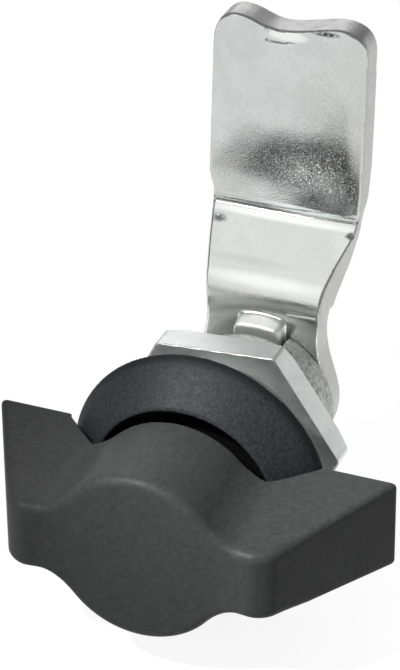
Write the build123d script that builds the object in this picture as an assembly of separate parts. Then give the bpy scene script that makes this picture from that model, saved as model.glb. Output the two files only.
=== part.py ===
"""Quarter-turn cabinet latch with a wing knob.

Millimetres. The origin is the centre of the collar's panel face, on the turning axis.
+Y points into the cabinet, +Z is up (towards the tip of the arm in the drawn position),
X runs along the wings.
"""
import math
import os

from build123d import *

# ---------------------------------------------------------------- knob
knob_front_y = -20.5        # flat front face
knob_hub_r = 11.19          # round hub
knob_hub_back_y = -6.7      # back of the hub
knob_face_half = 16.5       # half length of the flat front
knob_span_half = 26.35      # half length over the wings, before their ends are rounded
knob_wing_back_y = -1.23    # back of the wings
wing_half_h_front = 4.55    # half height of the wings at the front
wing_half_h_back = 5.85     # half height of the wings at the back
wing_blend_r = 3.6          # hollow between hub and wings
knob_corner_r = 2.0         # front corners of the wings
knob_edge_r = 1.15          # rounded front edge
wing_edge_r = 0.7           # rounded wing ends
recess_r = 17.3             # relief in the wings around the collar
recess_step_y = -1.9
recess_cone_r = 12.35
# ---------------------------------------------------------------- housing
collar_r = 16.8
collar_edge_r = 16.35       # front edge of the short rim
collar_edge_y = -1.3
collar_lip_r = 12.2         # inner edge of the sloping face
collar_lip_y = -5.6
well_out_r = 11.75          # ring-shaped well in the collar's front, behind the knob's hub
well_in_r = 8.3
well_floor_y = -3.4
barrel_r = 11.0             # M22 x 1.5, drawn at its outside diameter
barrel_thread_end_y = 12.4
barrel_flat = 10.3         # half distance over the two flats
tail_r = 10.2               # smooth rear end of the casting
tail_end_y = 19.8
bore_r = 6.05
notch_inner_r = 7.2
notch_floor_y = 17.3
notch_right_x = 3.9         # stop for the closed position
notch_low_z = -3.45         # stop for the open position
gasket_in_r = 12.8
gasket_out_r = 14.8
gasket_depth = 1.4
# ---------------------------------------------------------------- nut
nut_af = 27.0
nut_front_y = 6.8
nut_t = 4.05
nut_bore_r = 11.04
nut_chamfer_r = 14.5        # corners turned away outside this radius, at the back
nut_turn = -26.1            # degrees, as tightened: corners near +X and at the upper left and right
# ---------------------------------------------------------------- spindle
shaft_r = 6.0
shoulder_y = 20.0
head_af = 12.0
head_front_y = -17.0
head_back_y = -5.75
square_half = 4.0
square_end_y = 23.2
tap_r = 3.03
tap_end_y = 7.5
groove_front_y = -3.3
groove_back_y = -1.3
groove_r = 4.75
# ---------------------------------------------------------------- arm
arm_t = 3.5
arm_mount_y = 20.0          # front face of the mounting end
arm_tab_y = 26.3            # front face of the tab
arm_bend_low_z = 13.7
arm_bend_high_z = 23.7
arm_bend_low_ri = 1.2
arm_bend_high_ri = 1.4
arm_tab_half = 10.1
arm_waist_half = 7.45
arm_end_r = 9.55
# half width of the flat blank against the length along its front face
arm_neck = [(9.4, 7.45), (12.0, 7.5), (14.0, 7.65), (16.0, 8.0), (18.0, 8.4), (20.0, 8.85), (22.0, 9.2),
            (24.0, 9.55), (26.5, 9.85), (28.3, 10.1)]
# end of the tab, from left to right: two round corners and a shallow dip
arm_tip = [(-10.03, 46.0), (-9.75, 47.15), (-9.0, 48.5), (-7.7, 49.36), (-6.4, 49.45), (-5.2, 49.22), (-4.0, 48.82),
           (-2.7, 48.42), (-1.4, 48.27), (0.0, 48.42), (2.5, 48.98), (4.6, 49.5), (6.3, 49.74),
           (7.6, 49.58), (8.9, 49.0), (9.72, 47.95), (10.04, 46.9)]
arm_square_half = 4.125
arm_lean = 1.6              # degrees, play of the arm on the square
nose_half = 3.4
nose_low_z = 7.75
nose_top_z = 12.15
nose_out = 1.95
# ---------------------------------------------------------------- screw and washers
washer_out_r = 7.0
washer_in_r = 3.2
washer_t = 1.5
spring_out_r = 5.6
spring_in_r = 3.1
spring_t = 1.5
screw_r = 3.0
screw_af = 10.0
screw_head = 4.0
screw_end_y = 9.5


def ring(r_out, r_in, y0, y1):
    """Plain ring about the Y axis."""
    body = Rot(-90, 0, 0) * Cylinder(r_out, y1 - y0, align=(Align.CENTER, Align.CENTER, Align.MIN))
    if r_in > 0:
        body -= Rot(-90, 0, 0) * Cylinder(r_in, y1 - y0, align=(Align.CENTER, Align.CENTER, Align.MIN))
    return Pos(0, y0, 0) * body


def turned(points):
    """Revolve a closed (radius, y) outline about the Y axis."""
    outline = make_face(Polyline(*[(r, y) for r, y in points], close=True))
    return revolve(outline, Axis.Y, 360)


def box(x0, x1, y0, y1, z0, z1):
    return Pos((x0 + x1) / 2, (y0 + y1) / 2, (z0 + z1) / 2) * Box(x1 - x0, y1 - y0, z1 - z0)


def hexagon(af, y0, y1, turn=0.0):
    """Hexagonal bar about the Y axis; at turn 0 two flats face +X and -X."""
    pts = []
    for i in range(6):
        a = math.radians(30 + 60 * i + turn)
        pts.append((af / math.sqrt(3) * math.cos(a), af / math.sqrt(3) * math.sin(a)))
    sk = Plane.XZ * make_face(Polyline(*pts, close=True))
    bar = extrude(sk, amount=-(y1 - y0))
    return Pos(0, y0, 0) * bar


def make_knob():
    y0, y1 = knob_front_y, knob_wing_back_y
    plan = make_face(Polyline(
        (-knob_face_half, y0), (knob_face_half, y0), (knob_span_half, y1), (-knob_span_half, y1),
        close=True))
    wings = Pos(0, 0, -20) * extrude(plan, amount=40)
    side = Plane.YZ * make_face(Polyline(
        (y0, -wing_half_h_front), (y0, wing_half_h_front),
        (y1, wing_half_h_back), (y1, -wing_half_h_back), close=True))
    wings &= Pos(-40, 0, 0) * extrude(side, amount=80)
    # upright corner edges of the wings
    wings = fillet([e for e in wings.edges()
                    if abs(e.center().Z) < 0.01 and abs(e.center().Y - y0) < 0.01
                    and abs(e.tangent_at(0.5).Z) > 0.99], knob_corner_r)
    hub = ring(knob_hub_r, 0, y0, knob_hub_back_y)
    body = wings + hub
    # hollows between hub and wings
    hollow = [e for e in body.edges()
              if 7.0 < abs(e.center().X) < 11.2 and 3.5 < abs(e.center().Z) < 7.0
              and abs(e.tangent_at(0.5).Y) > 0.8 and e.length > 8]
    body = fillet(hollow, wing_blend_r)
    # relief for the collar
    relief = turned([(0, knob_hub_back_y), (recess_cone_r, knob_hub_back_y),
                     (recess_r, recess_step_y), (recess_r, 5), (0, 5)])
    body -= relief
    # rounded front
    front = body.faces().sort_by(Axis.Y)[0]
    body = fillet(front.edges(), knob_edge_r)
    ends = [e for e in body.edges()
            if abs(e.center().X) > 20 and (abs(e.tangent_at(0.5).Z) > 0.98
                                           or (abs(e.center().Z) > 4.6 and e.length > 12))]
    try:
        body = fillet(ends, wing_edge_r)
    except Exception:
        body = fillet([e for e in ends if abs(e.tangent_at(0.5).Z) > 0.98], wing_edge_r)
    body -= hexagon(head_af, head_front_y - 0.2, 5, 30)
    return body


def make_housing():
    body = turned([
        (bore_r, collar_lip_y), (collar_lip_r - 0.25, collar_lip_y), (collar_lip_r, collar_lip_y + 0.25),
        (collar_edge_r - 0.3, collar_edge_y - 0.32), (collar_edge_r, collar_edge_y),
        (collar_r, -0.25), (collar_r, 0), (barrel_r, 0), (barrel_r, barrel_thread_end_y - 0.8),
        (tail_r, barrel_thread_end_y), (tail_r, tail_end_y - 0.3), (tail_r - 0.3, tail_end_y),
        (bore_r, tail_end_y)])
    # face groove for the gasket
    body -= ring(gasket_out_r, gasket_in_r, -gasket_depth, 1)
    # well in the front, round the seat of the spindle's head
    body -= ring(well_out_r, well_in_r, collar_lip_y - 1, well_floor_y)
    # two flats on the thread
    for s in (-1, 1):
        body -= box(min(s * barrel_flat, s * 14), max(s * barrel_flat, s * 14),
                    0, barrel_thread_end_y, -9, 9)
    # stop notch in the rear end
    zone = ring(14, notch_inner_r, notch_floor_y, tail_end_y + 1)
    upper = zone & box(-15, notch_right_x, notch_floor_y, tail_end_y + 1, 0, 15)
    left = zone & box(-15, 0, notch_floor_y, tail_end_y + 1, notch_low_z, 15)
    body -= upper
    body -= left
    return body


def make_nut():
    body = hexagon(nut_af, nut_front_y, nut_front_y + nut_t, nut_turn)
    # corners turned away at the back
    r_c = nut_af / math.sqrt(3)
    drop = (r_c - nut_chamfer_r) * math.tan(math.radians(28))
    y1 = nut_front_y + nut_t
    body &= turned([(0, nut_front_y - 1), (r_c + 2, nut_front_y - 1),
                    (r_c + 2, y1 - drop - 2 * math.tan(math.radians(28))),
                    (nut_chamfer_r, y1), (0, y1)])
    body -= ring(nut_bore_r, 0, nut_front_y - 1, y1 + 1)
    lead = turned([(0, nut_front_y - 0.01), (nut_bore_r + 0.5, nut_front_y - 0.01),
                   (nut_bore_r, nut_front_y + 0.5), (0, nut_front_y + 0.5)])
    body -= lead
    tail = turned([(0, y1 + 0.01), (nut_bore_r + 0.5, y1 + 0.01), (nut_bore_r, y1 - 0.5), (0, y1 - 0.5)])
    body -= tail
    return body


def make_spindle():
    body = hexagon(head_af, head_front_y, head_back_y, 30)
    body += ring(shaft_r, 0, head_back_y, shoulder_y)
    body += box(-square_half, square_half, shoulder_y, square_end_y, -square_half, square_half)
    square = ring(5.3, 0, shoulder_y, square_end_y + 1) + ring(20, 0, head_front_y - 1, shoulder_y)
    body &= square
    body -= ring(shaft_r + 1, groove_r, groove_front_y, groove_back_y)
    body -= ring(tap_r, 0, tap_end_y, square_end_y + 1)
    body -= turned([(0, square_end_y), (tap_r + 0.4, square_end_y), (tap_r, square_end_y - 0.4),
                    (0, square_end_y - 0.4)])
    return body


def make_spindle_seal():
    mid = (groove_r + 6.02) / 2
    rad = (6.02 - groove_r) / 2 - 0.01
    circ = Pos(mid + 0.005, (groove_front_y + groove_back_y) / 2) * Circle(rad)
    return revolve(circ, Axis.Y, 360)


def make_gasket():
    return turned([(gasket_in_r + 0.05, -gasket_depth + 0.05), (gasket_out_r - 0.05, -gasket_depth + 0.05),
                   (gasket_out_r - 0.05, -0.15), (gasket_out_r - 0.2, 0), (gasket_in_r + 0.2, 0),
                   (gasket_in_r + 0.05, -0.15)])


def make_arm():
    t = arm_t
    # side view of the strip, front face then back face
    ang = math.atan2(arm_tab_y - arm_mount_y, arm_bend_high_z - arm_bend_low_z)
    off = t * math.tan(ang / 2)
    y_a, y_b = arm_mount_y, arm_tab_y
    z_a, z_b = arm_bend_low_z, arm_bend_high_z
    pts = [(y_a, -20), (y_a, z_a), (y_b, z_b), (y_b, 60),
           (y_b + t, 60), (y_b + t, z_b - off), (y_a + t, z_a - off), (y_a + t, -20)]
    side = make_face(Polyline(*pts, close=True))
    vs = side.vertices()

    def near(p):
        return min(vs, key=lambda v: (v.X - p[0]) ** 2 + (v.Y - p[1]) ** 2)

    side = fillet([near(pts[1])], arm_bend_low_ri + t)
    vs = side.vertices()
    side = fillet([near(pts[6])], arm_bend_low_ri)
    vs = side.vertices()
    side = fillet([near(pts[2])], arm_bend_high_ri)
    vs = side.vertices()
    side = fillet([near(pts[5])], arm_bend_high_ri + t)
    strip = Pos(-15, 0, 0) * extrude(Plane.YZ * side, amount=30)
    # front view of the mounting end: round, drawn in to the waist
    w, h, e = arm_waist_half, arm_tab_half, arm_end_r
    z_w = arm_neck[0][0]
    low = make_face([
        ThreePointArc((-e, 0), (0, -e), (e, 0)),
        Spline((e, 0), (8.45, 4.9), (7.75, 7.6), (w, z_w), tangents=[(-0.06, 1), (-0.06, 1)]),
        Line((w, z_w), (-w, z_w)),
        Spline((-w, z_w), (-7.75, 7.6), (-8.45, 4.9), (-e, 0), tangents=[(-0.06, -1), (-0.06, -1)])])
    # front view of the tab
    z_t = arm_neck[-1][0] - ((z_b - z_a) / math.cos(ang) - (z_b - z_a))
    top = make_face([
        Line((-h, z_t), (h, z_t)), Line((h, z_t), (h, 46.2)),
        Spline((h, 46.2), *reversed(arm_tip), (-h, 45.0)),
        Line((-h, 45.0), (-h, z_t))])
    # the neck between them is cut square to the sheet, so its sections follow the two bends
    r_out, r_in = arm_bend_low_ri + t, arm_bend_high_ri
    c_low = (y_a + r_out, z_a - r_out * math.tan(ang / 2))
    c_high = (y_b - r_in, z_b + r_in * math.tan(ang / 2))
    run = math.hypot(y_b - y_a, z_b - z_a)
    t_low, t_high = r_out * math.tan(ang / 2), r_in * math.tan(ang / 2)
    stations = [(z_w, y_a, z_w, 0.0), (11.0, y_a, 11.0, 0.0)]
    for i in range(5):
        q = ang * i / 4
        stations.append((z_a - t_low + 2 * t_low * i / 4, c_low[0] - r_out * math.cos(q),
                         c_low[1] + r_out * math.sin(q), q))
    for f in (0.3, 0.45, 0.6, 0.75, 0.88):
        stations.append((z_a + run * f, y_a + (y_b - y_a) * f, z_a + (z_b - z_a) * f, ang))
    for i in range(4):
        q = ang * (3 - i) / 3
        stations.append((z_a + run - t_high + 2 * t_high * i / 3, c_high[0] + r_in * math.cos(q),
                         c_high[1] - r_in * math.sin(q), q))
    stations.append((arm_neck[-1][0], y_b, z_t, 0.0))
    sections = []
    for s, y, z, q in stations:
        half = w
        for (s0, w0), (s1, w1) in zip(arm_neck, arm_neck[1:]):
            if s >= s0:
                half = w0 + (w1 - w0) * min(1.0, (s - s0) / (s1 - s0))
        ny, nz = math.cos(q), -math.sin(q)
        y0, z0, y1, z1 = y - 0.5 * ny, z - 0.5 * nz, y + (t + 0.5) * ny, z + (t + 0.5) * nz
        sections.append(Wire(Polyline((-half, y0, z0), (half, y0, z0), (half, y1, z1), (-half, y1, z1),
                                      close=True)))
    neck = Solid.make_loft(sections, ruled=True)
    body = strip & (Pos(0, 40, 0) * extrude(Plane.XZ * low, amount=40))
    body += strip & neck
    body += strip & (Pos(0, 40, 0) * extrude(Plane.XZ * top, amount=40))
    # lightly broken edges are left to the finish; square hole for the spindle
    body -= box(-arm_square_half, arm_square_half, arm_mount_y - 1, arm_mount_y + t + 1,
                -arm_square_half, arm_square_half)
    # stop nose pressed out of the plate
    nose = box(-nose_half, nose_half, arm_mount_y - nose_out, arm_mount_y + 0.5, nose_low_z, nose_top_z)
    up = [ed for ed in nose.edges() if abs(ed.tangent_at(0.5).Y) > 0.99 and ed.center().Z > nose_top_z - 0.1]
    nose = fillet(up, 1.7)
    fr = [ed for ed in nose.edges() if abs(ed.center().Y - (arm_mount_y - nose_out)) < 0.01
          and ed.center().Z > nose_low_z + 3.0]
    nose = fillet(fr, 1.2)
    body += nose
    dent = box(-nose_half + 0.45, nose_half - 0.45, arm_mount_y + t - 1.7, arm_mount_y + t + 1,
               nose_low_z + 0.35, nose_top_z - 0.6)
    dent = fillet([ed for ed in dent.edges() if abs(ed.tangent_at(0.5).Y) > 0.99
                   and ed.center().Z > nose_top_z - 1], 1.2)
    body -= dent
    return Rot(0, arm_lean, 0) * body


def make_washer():
    y = arm_mount_y + arm_t
    return ring(washer_out_r, washer_in_r, y, y + washer_t)


def make_spring_washer():
    y = arm_mount_y + arm_t + washer_t
    body = ring(spring_out_r, spring_in_r, y, y + spring_t)
    cut = Pos(0, y + spring_t / 2, (spring_out_r + spring_in_r) / 2) * Rot(0, 0, 25) * Box(0.8, 6, 4)
    return body - cut


def make_screw():
    y = arm_mount_y + arm_t + washer_t + spring_t
    head = hexagon(screw_af, y, y + screw_head, 0)
    r_c = screw_af / math.sqrt(3)
    k = math.tan(math.radians(30))
    head &= turned([(0, y - 1), (r_c + 1, y - 1), (r_c + 1, y + screw_head - (r_c + 1 - screw_af * 0.475) * k),
                    (screw_af * 0.475, y + screw_head), (0, y + screw_head)])
    shank = turned([(0, screw_end_y), (screw_r - 0.6, screw_end_y), (screw_r, screw_end_y + 0.6),
                    (screw_r, y), (0, y)])
    return head + shank


os.makedirs("parts", exist_ok=True)
export_step(make_knob(), "parts/wing_knob.step")
export_step(make_housing(), "parts/housing.step")
export_step(make_nut(), "parts/hex_nut.step")
export_step(make_spindle(), "parts/spindle.step")
export_step(make_spindle_seal(), "parts/spindle_seal.step")
export_step(make_gasket(), "parts/panel_gasket.step")
export_step(make_arm(), "parts/latch_arm.step")
export_step(make_washer(), "parts/flat_washer.step")
export_step(make_spring_washer(), "parts/spring_washer.step")
export_step(make_screw(), "parts/arm_screw.step")
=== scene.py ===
import bpy
import math
import numpy as np
from mathutils import Matrix


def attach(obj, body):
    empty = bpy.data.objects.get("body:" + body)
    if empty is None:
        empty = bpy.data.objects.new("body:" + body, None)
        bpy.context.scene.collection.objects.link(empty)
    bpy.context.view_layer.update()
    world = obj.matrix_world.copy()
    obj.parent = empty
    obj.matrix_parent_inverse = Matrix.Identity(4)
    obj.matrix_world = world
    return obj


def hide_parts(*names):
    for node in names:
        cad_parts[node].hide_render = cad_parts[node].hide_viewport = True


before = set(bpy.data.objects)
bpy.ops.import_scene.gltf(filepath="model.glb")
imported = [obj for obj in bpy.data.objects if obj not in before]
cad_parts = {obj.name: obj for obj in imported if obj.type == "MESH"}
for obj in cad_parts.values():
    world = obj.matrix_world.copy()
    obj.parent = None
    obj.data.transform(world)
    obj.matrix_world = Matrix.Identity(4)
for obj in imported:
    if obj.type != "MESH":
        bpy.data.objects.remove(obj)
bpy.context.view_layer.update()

MM = 0.001

# ------------------------------------------------------------------ camera
CAM_AZ, CAM_EL, CAM_ROLL = math.radians(22.705), math.radians(30.758), math.radians(0.533)
CAM_T = np.array([-3.808, 21.782, 376.729])
CAM_F = 3139.772
CAM_Y0 = 10.150


def camera():
    back = np.array([math.sin(CAM_AZ) * math.cos(CAM_EL), -math.cos(CAM_AZ) * math.cos(CAM_EL), math.sin(CAM_EL)])
    fwd = -back
    right = np.cross(fwd, [0, 0, 1.0])
    right /= np.linalg.norm(right)
    down = np.cross(fwd, right)
    c, s = math.cos(CAM_ROLL), math.sin(CAM_ROLL)
    x = c * right + s * down
    y = -s * right + c * down
    R = np.array([x, y, fwd])
    pos = -R.T @ CAM_T - np.array([0, CAM_Y0, 0])
    cam = bpy.data.cameras.new("camera")
    obj = bpy.data.objects.new("camera", cam)
    bpy.context.scene.collection.objects.link(obj)
    m = Matrix.Identity(4)
    for i in range(3):
        m[i][0] = x[i]
        m[i][1] = -y[i]
        m[i][2] = -fwd[i]
        m[i][3] = pos[i] * MM
    obj.matrix_world = m
    cam.sensor_fit = "VERTICAL"
    cam.sensor_height = 36.0
    cam.lens = CAM_F * 36.0 / 670.0
    cam.clip_start = 0.01
    cam.clip_end = 10
    bpy.context.scene.camera = obj
    return obj


camera()


# ------------------------------------------------------------------ rounded solids as distance fields
def ri(a, b, r):
    """Intersection with a rounded edge."""
    return np.minimum(-r, np.maximum(a, b)) + np.sqrt(np.maximum(a + r, 0) ** 2 + np.maximum(b + r, 0) ** 2)


def ru(a, b, r):
    """Union with a filleted corner."""
    return np.maximum(r, np.minimum(a, b)) - np.sqrt(np.maximum(r - a, 0) ** 2 + np.maximum(r - b, 0) ** 2)


def rs(a, b, r):
    """a with b taken away, edges rounded."""
    return ri(a, -b, r)


def smooth(e0, e1, v):
    t = np.clip((v - e0) / (e1 - e0), 0, 1)
    return t * t * (3 - 2 * t)


def hexdist(x, z, af, turn, r):
    """Hexagonal bar about Y; corners at 30 + turn + 60 i degrees, rounded by r."""
    d = None
    for i in range(6):
        a = math.radians(60 * i + turn)
        p = x * math.cos(a) + z * math.sin(a) - af / 2
        d = p if d is None else ri(d, p, r)
    return d


def spline(pts, per=8):
    """Points along a smooth open curve through pts."""
    p = np.array(pts, float)
    q = np.vstack([2 * p[0] - p[1], p, 2 * p[-1] - p[-2]])
    out = []
    for i in range(1, len(q) - 2):
        p0, p1, p2, p3 = q[i - 1], q[i], q[i + 1], q[i + 2]
        t01 = max(np.linalg.norm(p1 - p0) ** 0.5, 1e-6)
        t12 = max(np.linalg.norm(p2 - p1) ** 0.5, 1e-6)
        t23 = max(np.linalg.norm(p3 - p2) ** 0.5, 1e-6)
        m1 = (p2 - p1) + t12 * ((p1 - p0) / t01 - (p2 - p0) / (t01 + t12))
        m2 = (p2 - p1) + t12 * ((p3 - p2) / t23 - (p3 - p1) / (t12 + t23))
        for k in range(per):
            t = k / per
            out.append((2 * p1 - 2 * p2 + m1 + m2) * t ** 3 + (-3 * p1 + 3 * p2 - 2 * m1 - m2) * t ** 2 + m1 * t + p1)
    out.append(p[-1])
    return np.array(out)


def polydist(x, y, pts):
    """Signed distance to a closed polygon."""
    x, y = np.broadcast_arrays(x, y)
    best = np.full(x.shape, 1e9, x.dtype)
    inside = np.zeros(x.shape, bool)
    n = len(pts)
    for i in range(n):
        ax, ay = pts[i]
        bx, by = pts[(i + 1) % n]
        ex, ey = bx - ax, by - ay
        wx, wy = x - ax, y - ay
        t = np.clip((wx * ex + wy * ey) / (ex * ex + ey * ey + 1e-12), 0, 1)
        best = np.minimum(best, (wx - t * ex) ** 2 + (wy - t * ey) ** 2)
        c = (ay > y) != (by > y)
        if ey != 0:
            inside ^= c & (x < ax + (y - ay) * ex / ey)
    return np.where(inside, -1, 1) * np.sqrt(best)


def corner_cells(sh):
    return [(i, j, k) for i in (0, 1) for j in (0, 1) for k in (0, 1)]


def net(f, lo, hi, h):
    """Quad mesh of the surface f = 0, with vertices carried onto it and normals from its slope."""
    lo = np.array(lo, float)
    hi = np.array(hi, float)
    n = np.ceil((hi - lo) / h).astype(int) + 1
    ax = [(lo[a] + h * np.arange(n[a])).astype(np.float32) for a in range(3)]
    F = np.empty(tuple(n), np.float32)
    step = max(1, int(1.2e6 / (n[1] * n[2])))
    for i in range(0, n[0], step):
        X = ax[0][i:i + step, None, None]
        Y = ax[1][None, :, None]
        Z = ax[2][None, None, :]
        X, Y, Z = np.broadcast_arrays(X, Y, Z)
        F[i:i + step] = f(X, Y, Z)
    S = F < 0
    cs = corner_cells(n)
    tot = np.zeros(tuple(n - 1), np.int8)
    for i, j, k in cs:
        tot += S[i:n[0] - 1 + i, j:n[1] - 1 + j, k:n[2] - 1 + k]
    idx = np.argwhere((tot > 0) & (tot < 8))
    V = np.stack([F[idx[:, 0] + i, idx[:, 1] + j, idx[:, 2] + k] for i, j, k in cs], 1)
    acc = np.zeros((len(idx), 3))
    cnt = np.zeros(len(idx))
    for a in range(8):
        for b in range(a + 1, 8):
            d = np.abs(np.subtract(cs[a], cs[b]))
            if d.sum() != 1:
                continue
            m = (V[:, a] < 0) != (V[:, b] < 0)
            t = np.zeros(len(idx))
            t[m] = V[m, a] / (V[m, a] - V[m, b])
            p = np.array(cs[a])[None] * (1 - t[:, None]) + np.array(cs[b])[None] * t[:, None]
            acc[m] += p[m]
            cnt[m] += 1
    P = lo + h * (idx + acc / cnt[:, None])
    ids = np.full(tuple(n - 1), -1, np.int32)
    ids[idx[:, 0], idx[:, 1], idx[:, 2]] = np.arange(len(idx))
    quads = []
    for a in range(3):
        b, c = (a + 1) % 3, (a + 2) % 3
        s0 = [slice(1, -1)] * 3
        s1 = [slice(1, -1)] * 3
        s0[a] = slice(0, -1)
        s1[a] = slice(1, None)
        A, B = S[tuple(s0)], S[tuple(s1)]
        w = np.argwhere(A != B)
        sign = A[w[:, 0], w[:, 1], w[:, 2]]
        base = w.copy()
        base[:, b] += 1
        base[:, c] += 1

        def at(db, dc):
            q = base.copy()
            q[:, b] += db
            q[:, c] += dc
            return ids[q[:, 0], q[:, 1], q[:, 2]]
        q = np.stack([at(-1, -1), at(0, -1), at(0, 0), at(-1, 0)], 1)
        q[~sign] = q[~sign][:, ::-1]
        quads.append(q)
    Q = np.vstack(quads)
    Q = Q[(Q >= 0).all(1)]

    def grad(p, e):
        g = np.empty_like(p)
        for a in range(3):
            q = p.copy()
            q[:, a] += e
            u = f(q[:, 0], q[:, 1], q[:, 2])
            q[:, a] -= 2 * e
            g[:, a] = (u - f(q[:, 0], q[:, 1], q[:, 2])) / (2 * e)
        return g

    def project(p, times):
        for _ in range(times):
            g = grad(p, 0.01)
            v = f(p[:, 0], p[:, 1], p[:, 2])
            d = (v / np.maximum((g * g).sum(1), 0.05))[:, None] * g
            m = np.linalg.norm(d, axis=1, keepdims=True)
            p = p - d * np.minimum(1, 0.6 * h / np.maximum(m, 1e-9))
        return p

    P = project(P, 2)
    E = np.vstack([Q[:, [0, 1]], Q[:, [1, 2]], Q[:, [2, 3]], Q[:, [3, 0]]])
    deg = np.bincount(E.ravel(), minlength=len(P)).astype(float)
    for _ in range(3):
        G = grad(P, 0.02)
        G /= np.maximum(np.linalg.norm(G, axis=1, keepdims=True), 1e-9)
        M = np.stack([(np.bincount(E[:, 0], P[E[:, 1], a], len(P)) + np.bincount(E[:, 1], P[E[:, 0], a], len(P)))
                      for a in range(3)], 1) / deg[:, None]
        D = M - P
        D -= (D * G).sum(1, keepdims=True) * G
        P = project(P + 0.5 * D, 1)
    G = grad(P, 0.025)
    G /= np.maximum(np.linalg.norm(G, axis=1, keepdims=True), 1e-9)
    return P, Q, G


def mesh_object(name, P, Q, G, mats, pick=None):
    me = bpy.data.meshes.new(name)
    me.vertices.add(len(P))
    me.vertices.foreach_set("co", (P * MM).astype(np.float32).ravel())
    me.loops.add(Q.size)
    me.loops.foreach_set("vertex_index", Q.astype(np.int32).ravel())
    me.polygons.add(len(Q))
    me.polygons.foreach_set("loop_start", np.arange(0, Q.size, 4, dtype=np.int32))
    me.polygons.foreach_set("loop_total", np.full(len(Q), 4, np.int32))
    for m in mats:
        me.materials.append(m)
    if pick is not None:
        C = P[Q].mean(1)
        me.polygons.foreach_set("material_index", pick(C, G[Q].mean(1)).astype(np.int32))
    me.update(calc_edges=True)
    me.validate()
    me.polygons.foreach_set("use_smooth", np.ones(len(me.polygons), bool))
    if len(me.vertices) == len(P):
        me.normals_split_custom_set_from_vertices(G.tolist())
    obj = bpy.data.objects.new(name, me)
    bpy.context.scene.collection.objects.link(obj)
    return obj


SCALE = 1.0


# ------------------------------------------------------------------ knob
def knob_field(x, y, z):
    ax, az = np.abs(x), np.abs(z)
    k = math.hypot(19.27, 9.85)
    end = ((ax - 16.37) * 19.27 - (y + 20.5) * 9.85) / k
    front = -20.5 - y + 0.0042 * np.maximum(np.hypot(x, z) - 1.0, 0) ** 2 * smooth(15.0, 9.0, ax)
    back = y + 1.23
    plan = ri(ri(front, end, 2.0), back, 0.85)
    flat = (az - 4.55) * 0.9977 - (y + 20.5) * 0.0673
    hub = np.hypot(x, z) - 11.19
    body = ru(flat, hub, 2.5)
    edge = np.interp(y, [-20.5, -17, -14, 0], [1.15, 1.15, 0.75, 0.7]).astype(np.float32)
    body = ri(body, plan, edge)
    r = np.hypot(x, z)
    cone = ((r - 12.35) * 4.8 - (y + 6.7) * 4.95) / math.hypot(4.8, 4.95)
    relief = np.maximum(np.maximum(-6.7 - y, cone), r - 17.3)
    body = rs(body, relief, 0.25)
    socket = np.maximum(hexdist(x, z, 12.0, 60, 0.3), -17.2 - y)
    return rs(body, socket, 0.2)


# ------------------------------------------------------------------ housing
PITCH = 1.5


def thread_r(x, y, z, top):
    """Radius of an M22 x 1.5 screw thread at each point."""
    th = np.arctan2(z, x) / (2 * math.pi)
    u = np.abs(np.mod(y / PITCH - th, 1.0) - 0.5)
    u = (0.5 - u) * PITCH
    d = (u - 0.094) * 1.6
    d = np.clip(d, 0, 0.85)
    return top - d


def housing_field(x, y, z):
    r = np.hypot(x, z)
    slope = (r - 12.2) * 0.7195 - (y + 5.6) * 0.6944
    lip = -5.6 - y
    rim = (r - 16.35) * 0.919 - (y + 1.3) * 0.394
    head = ri(lip, slope, 0.35)
    head = ri(head, rim, 0.45)
    head = ri(head, r - 16.8, 0.3)
    head = ri(head, y, 0.25)
    groove = np.maximum(np.abs(r - 13.8) - 1.0, -1.4 - y)
    head = rs(head, groove, 0.15)
    well = np.maximum(np.abs(r - 10.025) - 1.725, y + 3.4)
    head = rs(head, well, 0.26)
    fade = smooth(0.9, 1.7, y)
    tr = 10.55 + (thread_r(x, y, z, 11.0) - 10.55) * fade
    tr = np.minimum(tr, 11.0 - np.maximum(y - 11.5, 0) * 1.0)
    thread = (r - tr) * 0.82
    thread = ri(thread, np.abs(x) - 10.3, 0.25)
    thread = np.maximum(thread, np.maximum(-2 - y, y - 12.45))
    tail = ri(r - (10.22 - 0.004 * (y - 12)), y - 19.8, 0.4)
    tail = np.maximum(tail, 11.0 - y)
    body = ru(ru(head, thread, 0.3), tail, 0.3)
    zone = np.maximum(7.2 - r, 17.3 - y)
    a = ri(x - 3.9, -z, 0.2)
    b = np.maximum(x, -3.45 - z)
    notch = ri(zone, np.minimum(a, b), 0.25)
    body = rs(body, notch, 0.25)
    bore = r - 6.05 - np.maximum(y - 19.4, 0) * 0.8
    return rs(body, bore, 0.2)


# ------------------------------------------------------------------ nut
NUT_TURN = -26.1


def nut_field(x, y, z):
    r = np.hypot(x, z)
    h = hexdist(x, z, 27.0, NUT_TURN + 60.0, 0.32)
    c = ((r - 14.5) * math.sin(math.radians(28)) + (y - 10.85) * math.cos(math.radians(28)))
    body = ri(h, 6.8 - y, 0.11)
    body = ri(body, y - 10.85, 0.15)
    body = ri(body, c, 0.2)
    hole = (r - thread_r(x, y, z, 11.06) - 0.04) * 0.82
    hole = np.minimum(hole, r - 10.32)
    lead = r - 11.55 + np.minimum(y - 6.8, 10.85 - y)
    hole = np.minimum(hole, lead * 0.7)
    return rs(body, hole, 0.15)


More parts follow.
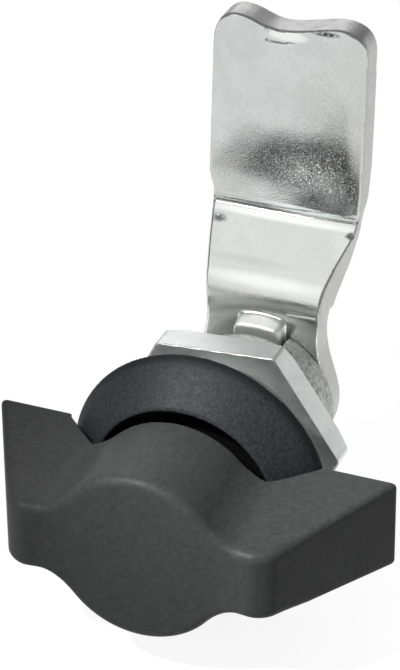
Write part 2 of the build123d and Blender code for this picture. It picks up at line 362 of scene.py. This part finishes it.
# ------------------------------------------------------------------ arm
LEAN = math.radians(1.6)
T = 3.5
YM, YT, ZL, ZH = 20.0, 26.3, 13.7, 23.7
ANG = math.atan2(YT - YM, ZH - ZL)
RUN = math.hypot(YT - YM, ZH - ZL)
TL, TH = 4.7 * math.tan(ANG / 2), 1.4 * math.tan(ANG / 2)
C1 = (YM + 4.7, ZL - TL)
C2 = (YT - 1.4, ZH + TH)
W_RF = [(9.4, 7.45), (12, 7.5), (14, 7.38), (16, 7.48), (17.9, 7.93), (19.7, 8.42), (22, 9.2), (23.7, 9.75),
        (24.9, 9.98), (26.5, 10.02), (28.5, 10.08), (31, 10.1), (70, 10.1)]
W_RB = [(9.4, 7.48), (11, 7.45), (13, 7.65), (14.75, 7.93), (16.9, 8.3), (19, 8.68), (20.5, 9.0), (22.7, 9.3),
        (24.2, 9.5), (26.3, 9.75), (27.3, 9.98), (28.5, 10.1), (70, 10.1)]
W_LF = [(9.4, 7.62), (12, 7.8), (14, 8.05), (15.84, 8.33), (17.7, 8.6), (19.6, 8.88), (22.7, 9.25), (24.6, 9.45),
        (26.4, 9.55), (27.2, 9.8), (28.4, 10.2), (30, 10.25), (36, 10.18), (42, 10.12), (70, 10.1)]
TIP = [(-10.1, 44.0), (-10.1, 45.0), (-10.03, 46.0), (-9.75, 47.15), (-9.0, 48.5), (-7.7, 49.36), (-6.4, 49.45),
       (-5.2, 49.22), (-4.0, 48.82), (-2.7, 48.42), (-1.4, 48.27), (0.0, 48.42), (2.5, 48.98), (4.6, 49.5),
       (6.3, 49.74), (7.6, 49.58), (8.9, 49.0), (9.72, 47.95), (10.04, 46.9), (10.1, 46.2), (10.1, 45.0)]
TIP_POLY = np.vstack([spline(TIP, 5), [[10.1, 30.0], [-10.1, 30.0]]])


def curve(tab):
    c = spline(tab, 6)
    return c[:, 0], c[:, 1]


RF, RB, LF = curve(W_RF), curve(W_RB), curve(W_LF)
WAIST = spline([(-2, 9.34), (0.0, 9.55), (1.2, 9.47), (2.6, 9.17), (4.9, 8.45), (6.3, 8.0), (7.6, 7.7), (9.4, 7.45),
                (11, 7.4)], 6)


def run_length(y, z):
    """Length along the sheet's front face, fanned round the two bends."""
    mid = ZL + (y - YM) * math.sin(ANG) + (z - ZL) * math.cos(ANG)
    t1 = np.arctan2(z - C1[1], C1[0] - y)
    s = np.where(z < C1[1], z, np.where((t1 < ANG) & (y < C1[0] - 0.3), ZL - TL + t1 / ANG * 2 * TL, mid))
    t2 = np.arctan2(C2[1] - z, y - C2[0])
    s0 = ZL + RUN - TH
    up = np.where(z >= C2[1], z + RUN - (ZH - ZL), s0 + (1 - np.clip(t2, 0, ANG) / ANG) * 2 * TH)
    return np.where((z >= C2[1]) | ((mid > s0) & (t2 < ANG) & (z > 19)), up, s)


def arm_field(x0, y, z0):
    c, s_ = math.cos(LEAN), math.sin(LEAN)
    x = x0 * c - z0 * s_
    z = z0 * c + x0 * s_
    s = run_length(y, z)
    fi = -((y - YM) * math.cos(ANG) - (z - ZL) * math.sin(ANG))
    # two press lines along the inner bend, and a dimple at each end of the flat below them
    ends = smooth(9.8, 9.2, np.abs(x))
    l1, l2 = 25.72 + 0.033 * x, 25.14 + 0.03 * x
    mark = 0.11 * np.exp(-((s - l1) / 0.13) ** 2) + 0.09 * np.exp(-((s - l2) / 0.12) ** 2)
    mark = mark * ends
    for px, ps, pr, pd in ((-8.1, 22.9, 0.7, 0.03), (9.35, 24.0, 0.55, 0.15)):
        mark = mark + pd * np.exp(-((x - px) / pr) ** 2 - ((s - ps) / (pr * 0.55)) ** 2)
    # short line pressed in beside the stop nose
    mark = mark + 0.10 * np.exp(-((z - 12.45 - 0.05 * x) / 0.20) ** 2) * smooth(2.6, 3.4, x) * smooth(7.4, 6.6, x)
    # the tab is crowned: hollow just above the bend, then proud in the middle, rolled off at its right edge
    hollow = (0.11 - 0.03 * smooth(-4.0, 5.0, x)) * np.clip((28.1 - z) / 3.0, 0, 2) ** 2
    crown = 0.44 * smooth(27.0, 36.0, z) * (1 - np.clip((x + 1) / 10.4, 0, 1.25) ** 3
                                            - 0.9 * np.clip(-x / 10.3, 0, 1.2) ** 4) - 0.24 * smooth(7.6, 10.6, x)
    hollow = (hollow + crown) * smooth(l2 - 0.05, l1 + 0.05, s)
    f20, f26 = YM - y, YT - y
    wave = 0.008 * np.sin(x * 0.55 + 1.1) * np.sin(z * 0.31 + 0.4) + 0.004 * np.sin(x * 1.3 - z * 0.9)
    front = ri(ru(fi, f26, 0.6), f20, 1.3) + mark - hollow + wave * smooth(12.5, 14.5, s)
    # sheared strip under the dip of the tip
    zt = np.interp(x, TIP_POLY[:-2, 0], TIP_POLY[:-2, 1]).astype(np.float32) if x.dtype == np.float32 else \
        np.interp(x, TIP_POLY[:-2, 0], TIP_POLY[:-2, 1])
    below = zt - z
    fade = smooth(3.0, -0.5, x)
    cut = np.clip((1.66 - below) * 0.13, 0, 0.2) * smooth(-3.1, -2.85, x) * fade
    cut = cut + 0.14 * np.exp(-((below - 1.68) / 0.15) ** 2) * smooth(-3.2, -2.8, x) * smooth(1.6, -0.4, x)
    cut = cut + 0.12 * np.exp(-((x + 2.95) / 0.15) ** 2) * smooth(1.75, 1.6, below)
    front = front + cut * (z > 44)
    g29 = y - (YT + T)
    back = ri(ru(y - (YM + T), -fi - T, 1.2), g29, 4.9)
    n = np.clip(-front, 0, T) / T
    wr = np.interp(s, *RF) * (1 - n) + np.interp(s, *RB) * n
    wl = np.interp(s, *LF) * (1 - n) + (np.interp(s, *RB)) * n
    side = np.maximum(x - wr, -x - wl) * 0.93
    wz = np.interp(z, WAIST[:, 0], WAIST[:, 1])
    wz = wz + np.where(x < 0, 0.25 * smooth(2.0, 8.0, z), 0.0)
    low = np.where(z > 0, (np.abs(x) - wz) * 0.97, np.hypot(x, z) - 9.55)
    out = np.where(s < 10.0, low, side)
    tip = z > 43.5
    if tip.any():
        out = out.copy()
        out[tip] = polydist(x[tip], z[tip], TIP_POLY)
    plate = ri(out, front, 0.42)
    plate = ri(plate, back, 0.2)
    sq = np.maximum(np.abs(x), np.abs(z)) - 4.125
    plate = rs(plate, sq, 0.15)
    # stop nose, half pressed through the plate
    top = 11.85 - 0.04 * (x - 0.1) ** 2
    up = (z - top) * math.cos(0.42) - (y - YM) * math.sin(0.42)
    face = (YM - 1.93 - y) + 0.10 * np.clip(11.0 - z, 0, 3)
    lft = -(x + 3.2) * 0.985 - (YM - y) * 0.05
    rgt = (x - 3.12) * 0.97 + (YM - y) * 0.13
    facet = (x - 2.2) * 0.62 + (YM - 1.93 - y) * 0.72 + (z - 10.6) * 0.22
    nose = ri(ri(ri(up, lft, 0.7), rgt, 0.7), face, 0.3)
    nose = ri(nose, facet, 0.18)
    nose = np.maximum(np.maximum(nose, 7.8 - z), y - YM - 0.8)
    body = ru(plate, nose, 0.18)
    dent = np.maximum(ri(np.abs(x) - 2.9, np.abs(z - 9.8) - 1.7, 0.9), (YM + T - 1.6) - y)
    return rs(body, dent, 0.3)


# ------------------------------------------------------------------ washers and screw
def washer_field(x, y, z):
    r = np.hypot(x, z)
    ring = ri(ri(r - 7.0, 23.52 - y, 0.25), y - 25.0, 0.32)
    return rs(ring, r - 3.2, 0.2)


def spring_field(x, y, z):
    r = np.hypot(x, z)
    a = np.mod(np.arctan2(x, z) / (2 * math.pi) + 1.0, 1.0)
    # one turn that climbs a little; the two ends stand side by side at the slit
    rise = (a - 0.5) * 0.12
    ring = ri(np.abs(r - 4.35) - 1.22, np.abs(y - 25.75 - rise) - 0.67, 0.2)
    slit = np.abs(x + (y - 25.75) * 0.5 - 0.0) - 0.32
    slit = np.maximum(slit, -z)
    return rs(ring, slit, 0.12)


def screw_field(x, y, z):
    r = np.hypot(x, z)
    h = hexdist(x, z, 10.0, 0, 0.2)
    cham = (r - 4.75) * math.sin(math.radians(30)) + (y - 30.5) * math.cos(math.radians(30))
    head = ri(ri(h, 26.52 - y, 0.15), cham, 0.2)
    head = ri(head, y - 30.5, 0.2)
    dish = np.hypot(r, y - 36.2) - 6.0
    head = rs(head, dish, 0.2)
    th = np.arctan2(z, x) / (2 * math.pi)
    u = (0.5 - np.abs(np.mod(y / 1.0 - th, 1.0) - 0.5)) * 1.0
    tr = 2.98 - np.clip((u - 0.07) * 1.5, 0, 0.5) * smooth(25.2, 24.2, y)
    shank = ri((r - tr) * 0.85, 9.6 - y, 0.4)
    shank = np.maximum(shank, y - 27.5)
    return ru(head, shank, 0.15)


def gasket_field(x, y, z):
    r = np.hypot(x, z)
    return ri(np.abs(r - 13.8) - 0.93, np.abs(y + 0.68) - 0.66, 0.28)


# ------------------------------------------------------------------ materials
def new_mat(name):
    m = bpy.data.materials.new(name)
    m.use_nodes = True
    nt = m.node_tree
    for n in list(nt.nodes):
        nt.nodes.remove(n)
    out = nt.nodes.new("ShaderNodeOutputMaterial")
    b = nt.nodes.new("ShaderNodeBsdfPrincipled")
    nt.links.new(b.outputs[0], out.inputs[0])
    return m, nt, b


def coords(nt, scale=(1, 1, 1)):
    tc = nt.nodes.new("ShaderNodeTexCoord")
    mp = nt.nodes.new("ShaderNodeMapping")
    mp.inputs["Scale"].default_value = scale
    nt.links.new(tc.outputs["Object"], mp.inputs[0])
    return mp.outputs[0]


def noise(nt, vec, scale, detail=3.0, rough=0.55, distortion=0.0):
    n = nt.nodes.new("ShaderNodeTexNoise")
    n.inputs["Scale"].default_value = scale
    n.inputs["Detail"].default_value = detail
    n.inputs["Roughness"].default_value = rough
    n.inputs["Distortion"].default_value = distortion
    nt.links.new(vec, n.inputs["Vector"])
    return n.outputs["Fac"]


def voronoi(nt, vec, scale, feature="F1"):
    n = nt.nodes.new("ShaderNodeTexVoronoi")
    n.feature = feature
    n.inputs["Scale"].default_value = scale
    nt.links.new(vec, n.inputs["Vector"])
    return n.outputs["Distance"]


def ramp(nt, fac, stops):
    n = nt.nodes.new("ShaderNodeValToRGB")
    n.color_ramp.elements[0].position = stops[0][0]
    n.color_ramp.elements[0].color = (*stops[0][1], 1)
    n.color_ramp.elements[1].position = stops[-1][0]
    n.color_ramp.elements[1].color = (*stops[-1][1], 1)
    for p, c in stops[1:-1]:
        e = n.color_ramp.elements.new(p)
        e.color = (*c, 1)
    nt.links.new(fac, n.inputs[0])
    return n.outputs["Color"]


def span(nt, fac, a0, a1, b0, b1):
    n = nt.nodes.new("ShaderNodeMapRange")
    n.inputs["From Min"].default_value = a0
    n.inputs["From Max"].default_value = a1
    n.inputs["To Min"].default_value = b0
    n.inputs["To Max"].default_value = b1
    nt.links.new(fac, n.inputs["Value"])
    return n.outputs["Result"]


def math_node(nt, op, a, b):
    n = nt.nodes.new("ShaderNodeMath")
    n.operation = op
    for i, v in enumerate((a, b)):
        if isinstance(v, (int, float)):
            n.inputs[i].default_value = v
        else:
            nt.links.new(v, n.inputs[i])
    return n.outputs[0]


def bump(nt, height, strength, distance, prev=None):
    n = nt.nodes.new("ShaderNodeBump")
    n.inputs["Strength"].default_value = strength
    n.inputs["Distance"].default_value = distance
    nt.links.new(height, n.inputs["Height"])
    if prev is not None:
        nt.links.new(prev, n.inputs["Normal"])
    return n.outputs["Normal"]


def plastic():
    m, nt, b = new_mat("black_plastic_knob")
    v = coords(nt)
    col = ramp(nt, noise(nt, v, 1500, 4), [(0.3, (0.030, 0.031, 0.0305)), (0.7, (0.043, 0.0445, 0.044))])
    nt.links.new(col, b.inputs["Base Color"])
    b.inputs["Specular IOR Level"].default_value = 0.12
    nt.links.new(span(nt, noise(nt, v, 420, 3), 0.3, 0.7, 0.46, 0.54), b.inputs["Roughness"])
    n1 = bump(nt, noise(nt, v, 3900, 2), 0.6, 0.00004)
    n2 = bump(nt, noise(nt, v, 260, 2), 0.12, 0.00012, n1)
    nt.links.new(n2, b.inputs["Normal"])
    return m


def coating():
    m, nt, b = new_mat("black_coated_casting")
    v = coords(nt)
    col = ramp(nt, noise(nt, v, 2400, 3), [(0.35, (0.014, 0.0148, 0.0162)), (0.65, (0.026, 0.0272, 0.0295))])
    # painted shade: darker on the rolled outer rim and down in the well
    flat = nt.nodes.new("ShaderNodeVectorMath")
    flat.operation = "MULTIPLY"
    flat.inputs[1].default_value = (1, 0, 1)
    nt.links.new(v, flat.inputs[0])
    ln = nt.nodes.new("ShaderNodeVectorMath")
    ln.operation = "LENGTH"
    nt.links.new(flat.outputs[0], ln.inputs[0])
    col = mix(nt, span(nt, ln.outputs["Value"], 0.01605, 0.0165, 0.0, 0.75), col, (0.006, 0.006, 0.0065))
    col = mix(nt, span(nt, ln.outputs["Value"], 0.01166, 0.0118, 1.0, 0.0), col, (0.002, 0.002, 0.002))
    nt.links.new(col, b.inputs["Base Color"])
    b.inputs["Specular IOR Level"].default_value = 0.12
    nt.links.new(span(nt, noise(nt, v, 1500, 3), 0.3, 0.7, 0.46, 0.58), b.inputs["Roughness"])
    n1 = bump(nt, noise(nt, v, 3000, 3, 0.6), 0.8, 0.00008)
    nt.links.new(n1, b.inputs["Normal"])
    return m


def cast_zinc():
    m, nt, b = new_mat("bare_zinc_casting")
    v = coords(nt)
    f = noise(nt, v, 1900, 5, 0.65)
    col = ramp(nt, f, [(0.30, (0.20, 0.205, 0.20)), (0.48, (0.44, 0.45, 0.44)), (0.7, (0.62, 0.63, 0.62))])
    nt.links.new(col, b.inputs["Base Color"])
    b.inputs["Metallic"].default_value = 0.85
    nt.links.new(span(nt, noise(nt, v, 1200, 4), 0.3, 0.7, 0.38, 0.62), b.inputs["Roughness"])
    n1 = bump(nt, f, 0.5, 0.00007)
    nt.links.new(n1, b.inputs["Normal"])
    return m


def near_point(nt, vec, centre, radii, soft):
    """1 inside an ellipsoid, fading to 0 at its surface."""
    sub = nt.nodes.new("ShaderNodeVectorMath")
    sub.operation = "SUBTRACT"
    sub.inputs[1].default_value = [c * MM for c in centre]
    nt.links.new(vec, sub.inputs[0])
    mul = nt.nodes.new("ShaderNodeVectorMath")
    mul.operation = "MULTIPLY"
    mul.inputs[1].default_value = [1 / (r * MM) for r in radii]
    nt.links.new(sub.outputs[0], mul.inputs[0])
    ln = nt.nodes.new("ShaderNodeVectorMath")
    ln.operation = "LENGTH"
    nt.links.new(mul.outputs[0], ln.inputs[0])
    return span(nt, ln.outputs["Value"], 1.0 - soft, 1.0, 1.0, 0.0)


def mix(nt, fac, a, b):
    n = nt.nodes.new("ShaderNodeMix")
    n.data_type = "RGBA"
    for i, v in ((0, fac), (6, a), (7, b)):
        if isinstance(v, tuple):
            n.inputs[i].default_value = (*v, 1)
        else:
            nt.links.new(v, n.inputs[i])
    return n.outputs[2]


def zinc_plate(name, base, rough, fine, speckle=0.1, tint=(0.95, 0.94, 0.92), marks_and_painted_light=(), rough_spots=(),
               calm=(), painted_shade_edge=None):
    m, nt, b = new_mat(name)
    v = coords(nt)
    a = noise(nt, v, 210, 6, 0.62, 0.4)
    hi = tuple(min(1, c * 1.05) for c in base)
    lo = tuple(c * 0.90 for c in base)
    warm = tuple(c * t for c, t in zip(base, tint))
    col = ramp(nt, a, [(0.32, lo), (0.55, base), (0.75, hi)])
    col = mix(nt, span(nt, noise(nt, v, 95, 3, 0.5), 0.42, 0.66, 0.0, 0.7), col, warm)
    grain = noise(nt, v, 4300, 3, 0.7)
    pits = span(nt, voronoi(nt, v, 1100), 0.05, 0.16, 0.5, 0.0)
    pits = math_node(nt, "MULTIPLY", pits, span(nt, noise(nt, v, 160, 3), 0.50, 0.62, 0.0, 1.0))
    col = mix(nt, span(nt, grain, 0.35, 0.62, 0.22, 0.0), col, tuple(c * 0.62 for c in base))
    col = mix(nt, pits, col, tuple(c * 0.55 for c in base))
    # colour inside each ellipsoid: real marks, and also painted highlight and painted shade
    for centre, radii, soft, local_colour in marks_and_painted_light:
        f = near_point(nt, v, centre, radii, soft)
        if sum(local_colour) < 1:
            f = math_node(nt, "MULTIPLY", f, span(nt, noise(nt, v, 2300, 3, 0.6), 0.34, 0.47, 0.0, 1.0))
        col = mix(nt, f, col, local_colour)
    # painted shade: a band along the rounded front edge is darkened to hold back its glint
    if painted_shade_edge:
        y0, y1 = painted_shade_edge
        sep = nt.nodes.new("ShaderNodeSeparateXYZ")
        nt.links.new(v, sep.inputs[0])
        f = math_node(nt, "MULTIPLY", span(nt, sep.outputs["Y"], y0 * MM, (y0 + 0.02) * MM, 0.0, 1.0),
                      span(nt, sep.outputs["Y"], (y1 - 0.05) * MM, y1 * MM, 1.0, 0.0))
        col = mix(nt, f, col, tuple(c * 0.5 for c in base))
    nt.links.new(col, b.inputs["Base Color"])
    b.inputs["Metallic"].default_value = 1.0
    rg = span(nt, noise(nt, v, 700, 4, 0.6), 0.3, 0.72, rough[0], rough[1])
    dots = span(nt, noise(nt, v, 4800, 3, 0.7), 0.46, 0.68, 0.0, speckle)
    for centre, radii, soft in calm:
        still = near_point(nt, v, centre, radii, soft)
        dots = math_node(nt, "MULTIPLY", dots, math_node(nt, "SUBTRACT", 1.0, still))
    rg = math_node(nt, "ADD", rg, dots)
    for centre, radii, soft, amount in rough_spots:
        f = near_point(nt, v, centre, radii, soft)
        rg = math_node(nt, "ADD", rg, math_node(nt, "MULTIPLY", f, amount))
    nt.links.new(rg, b.inputs["Roughness"])
    n1 = bump(nt, grain, fine, 0.00005)
    n2 = bump(nt, noise(nt, v, 900, 3), 0.10, 0.00005, n1)
    nt.links.new(n2, b.inputs["Normal"])
    return m


def turned_steel():
    m, nt, b = new_mat("turned_steel")
    v = coords(nt, (200, 9000, 200))
    f = noise(nt, v, 1.0, 2)
    col = ramp(nt, f, [(0.3, (0.50, 0.50, 0.49)), (0.7, (0.62, 0.62, 0.61))])
    nt.links.new(col, b.inputs["Base Color"])
    b.inputs["Metallic"].default_value = 1.0
    nt.links.new(span(nt, f, 0.3, 0.7, 0.25, 0.38), b.inputs["Roughness"])
    nt.links.new(bump(nt, f, 0.3, 0.00002), b.inputs["Normal"])
    return m


def rubber():
    m, nt, b = new_mat("black_rubber")
    v = coords(nt)
    f = noise(nt, v, 1500, 4)
    nt.links.new(ramp(nt, f, [(0.3, (0.010, 0.010, 0.010)), (0.7, (0.018, 0.018, 0.018))]), b.inputs["Base Color"])
    nt.links.new(span(nt, f, 0.3, 0.7, 0.62, 0.8), b.inputs["Roughness"])
    nt.links.new(bump(nt, noise(nt, v, 4000, 2), 0.3, 0.00003), b.inputs["Normal"])
    return m


M_PLASTIC = plastic()
M_COAT = coating()
M_CAST = cast_zinc()
M_ARM = zinc_plate("zinc_plate_arm", (0.65, 0.662, 0.655), (0.10, 0.15), 0.28, 0.20,
                   marks_and_painted_light=[((6.1, 26.3, 48.85), (2.3, 2.0, 0.42), 0.6, (0.06, 0.07, 0.08)),
                          ((-7.5, 25.0, 21.6), (1.3, 2.0, 0.65), 0.7, (0.16, 0.17, 0.17)),
                          ((10.0, 25.6, 22.3), (0.7, 2.0, 0.5), 0.7, (0.16, 0.17, 0.17)),
                          # painted highlight: a lighter band just below the press lines
                          ((0.5, 26.0, 22.75), (14.0, 1.6, 0.62), 0.5, (0.83, 0.84, 0.83)),
                          # painted highlight on the sheared strip under the tip's dip, and painted shade along its
                          # lower step
                          ((1.3, 26.3, 47.75), (3.3, 1.0, 0.85), 0.35, (0.84, 0.85, 0.84)),
                          ((-0.3, 26.3, 46.72), (1.8, 1.0, 0.22), 0.6, (0.20, 0.21, 0.21)),
                          # painted shade along the press lines; the first band also lies over a glint at the bend's
                          # corner
                          ((0.0, 26.2, 23.70), (16.0, 1.2, 0.34), 0.5, (0.34, 0.35, 0.345)),
                          ((-3.0, 26.2, 23.98), (9.0, 1.2, 0.20), 0.6, (0.17, 0.18, 0.175)),
                          ((1.0, 26.0, 23.40), (12.0, 1.2, 0.15), 0.6, (0.20, 0.21, 0.205)),
                          # painted light: a lighter zone low on the tab, right of centre
                          ((4.0, 26.4, 25.6), (8.0, 1.6, 2.6), 0.6, (0.93, 0.97, 0.95)),
                          # painted highlight along the lower bend, then painted shade as a darker band across the
                          # neck
                          ((0.5, 21.2, 15.7), (12.0, 2.0, 1.1), 0.7, (0.80, 0.81, 0.80)),
                          ((-2.5, 22.3, 17.7), (8.0, 2.0, 0.7), 0.9, (0.53, 0.54, 0.53)),
                          # painted light: the mounting face and the stop nose made lighter to make up for the key
                          # light
                          ((0.0, 19.6, 5.0), (16.0, 1.6, 7.8), 0.2, (0.86, 0.875, 0.865)),
                          ((0.3, 18.4, 10.4), (4.4, 1.5, 3.0), 0.3, (0.82, 0.83, 0.82))],
                   rough_spots=[((0.3, 18.6, 10.2), (4.6, 1.7, 3.0), 0.35, 0.34),
                                ((0.0, 20.0, 6.0), (14.0, 3.0, 8.5), 0.3, 0.14),
                                ((0.5, 22.8, 18.3), (14.0, 5.0, 6.2), 0.25, -0.02)],
                   calm=[((0.5, 22.0, 13.4), (20.0, 12.0, 12.4), 0.1),
                         ((4.5, 26.4, 25.3), (8.0, 2.0, 2.5), 0.8)])
M_SHEAR = zinc_plate("zinc_sheared_edge", (0.55, 0.555, 0.55), (0.34, 0.46), 0.8)
M_NUT = zinc_plate("zinc_plate_nut", (0.80, 0.82, 0.81), (0.36, 0.48), 0.8, painted_shade_edge=(6.805, 6.98))
M_SMALL = zinc_plate("zinc_plate_small", (0.64, 0.66, 0.65), (0.20, 0.30), 0.4)
M_STEEL = turned_steel()
M_RUBBER = rubber()


# ------------------------------------------------------------------ pieces
def piece(name, field, lo, hi, h, body, node, mats, pick=None):
    P, Q, G = net(field, lo, hi, h * SCALE)
    obj = mesh_object(name, P, Q, G, mats, pick)
    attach(obj, body)
    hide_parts(node)
    return obj


piece("knob", knob_field, (-26.6, -21, -11.7), (26.6, -0.8, 11.7), 0.3, "rotor", "wing_knob",
      [M_PLASTIC])
piece("casting", housing_field, (-17.2, -6.1, -17.2), (17.2, 20.3, 17.2), 0.255, "frame", "housing",
      [M_COAT, M_CAST], lambda C, G: (C[:, 1] > 0.05) | (np.hypot(C[:, 0], C[:, 2]) < 6.3))
piece("nut", nut_field, (-16.2, 6.3, -16.2), (16.2, 11.3, 16.2), 0.2, "frame", "hex_nut", [M_NUT])
piece("arm", arm_field, (-11.2, 17.5, -10.2), (12.2, 30.3, 50.6), 0.2, "rotor", "latch_arm",
      [M_ARM, M_SHEAR], lambda C, G: (np.abs(G[:, 0]) > 0.62) & (C[:, 1] > 19.4) & (np.abs(C[:, 0]) > 4.6)
      | (C[:, 2] > 44) & (G[:, 2] > 0.55))
piece("washer", washer_field, (-7.5, 23.0, -7.5), (7.5, 25.5, 7.5), 0.17, "rotor", "flat_washer",
      [M_SMALL])
piece("lock_washer", spring_field, (-6.0, 24.6, -6.0), (6.0, 27.0, 6.0), 0.13, "rotor", "spring_washer",
      [M_SMALL])
piece("screw", screw_field, (-6.2, 9.0, -6.2), (6.2, 31.0, 6.2), 0.16, "rotor", "arm_screw",
      [M_SMALL])
piece("gasket", gasket_field, (-15.2, -1.8, -15.2), (15.2, 0.4, 15.2), 0.2, "frame", "panel_gasket",
      [M_RUBBER])

for node, mat in (("spindle", M_STEEL), ("spindle_seal", M_RUBBER)):
    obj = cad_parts[node]
    obj = obj if hasattr(obj, "material_slots") else bpy.data.objects[node]
    if not obj.material_slots:
        obj.data.materials.append(mat)
    for s in obj.material_slots:
        s.material = mat

# ------------------------------------------------------------------ floor and light
scene = bpy.context.scene
scene.view_settings.view_transform = "Standard"

fl = bpy.data.meshes.new("floor")
ring_n = 64
fv = [(0, 0, 0)] + [(1.6 * math.cos(2 * math.pi * i / ring_n), 1.6 * math.sin(2 * math.pi * i / ring_n), 0)
                    for i in range(ring_n)]
fl.from_pydata(fv, [], [(0, 1 + i, 1 + (i + 1) % ring_n) for i in range(ring_n)])
floor = bpy.data.objects.new("floor", fl)
floor.location = (0, 0, -16.85 * MM)
scene.collection.objects.link(floor)
fm, nt, b = new_mat("pale_floor")
b.inputs["Base Color"].default_value = (0.3, 0.3, 0.3, 1)
b.inputs["Emission Color"].default_value = (1, 1, 1, 1)
b.inputs["Emission Strength"].default_value = 0.88
b.inputs["Roughness"].default_value = 0.9
b.inputs["Specular IOR Level"].default_value = 0.1
fl.materials.append(fm)
floor.visible_diffuse = False

world = bpy.data.worlds.new("studio")
scene.world = world
world.use_nodes = True
bg = world.node_tree.nodes["Background"]
bg.inputs[0].default_value = (1, 1, 1, 1)
bg.inputs[1].default_value = 0.255


def area(name, loc, target, size, power):
    d = bpy.data.lights.new(name, "AREA")
    d.shape = "RECTANGLE"
    d.size, d.size_y = size
    d.energy = power
    o = bpy.data.objects.new(name, d)
    place(o, loc, target)
    return o


def place(o, loc, target):
    v = np.array(loc, float) - np.array(target, float)
    v /= np.linalg.norm(v)
    up = np.array([0, 0, 1.0]) if abs(v[2]) < 0.95 else np.array([0, 1.0, 0])
    xx = np.cross(up, v)
    xx /= np.linalg.norm(xx)
    yy = np.cross(v, xx)
    m = Matrix.Identity(4)
    for i in range(3):
        m[i][0], m[i][1], m[i][2], m[i][3] = xx[i], yy[i], v[i], loc[i]
    o.matrix_world = m
    scene.collection.objects.link(o)


def spot(name, loc, target, angle, blend, power, radius):
    d = bpy.data.lights.new(name, "SPOT")
    d.spot_size = math.radians(angle)
    d.spot_blend = blend
    d.shadow_soft_size = radius
    d.energy = power
    o = bpy.data.objects.new(name, d)
    place(o, loc, target)
    return o


spot("key", (-0.20, -0.30, 0.45), (0.018, -0.006, 0.004), 7.6, 1.0, 36.0, 0.022)
area("back_left", (-0.25, 0.56, 0.32), (0, 0.01, 0.0), (0.40, 0.30), 0.70)
area("back_right", (0.42, 0.555, 0.08), (0, 0.01, 0.0), (0.40, 0.15), 0.19)
area("front_left", (-0.2, -0.50, 0.24), (0, 0.02, 0.02), (0.50, 0.42), 0.60)
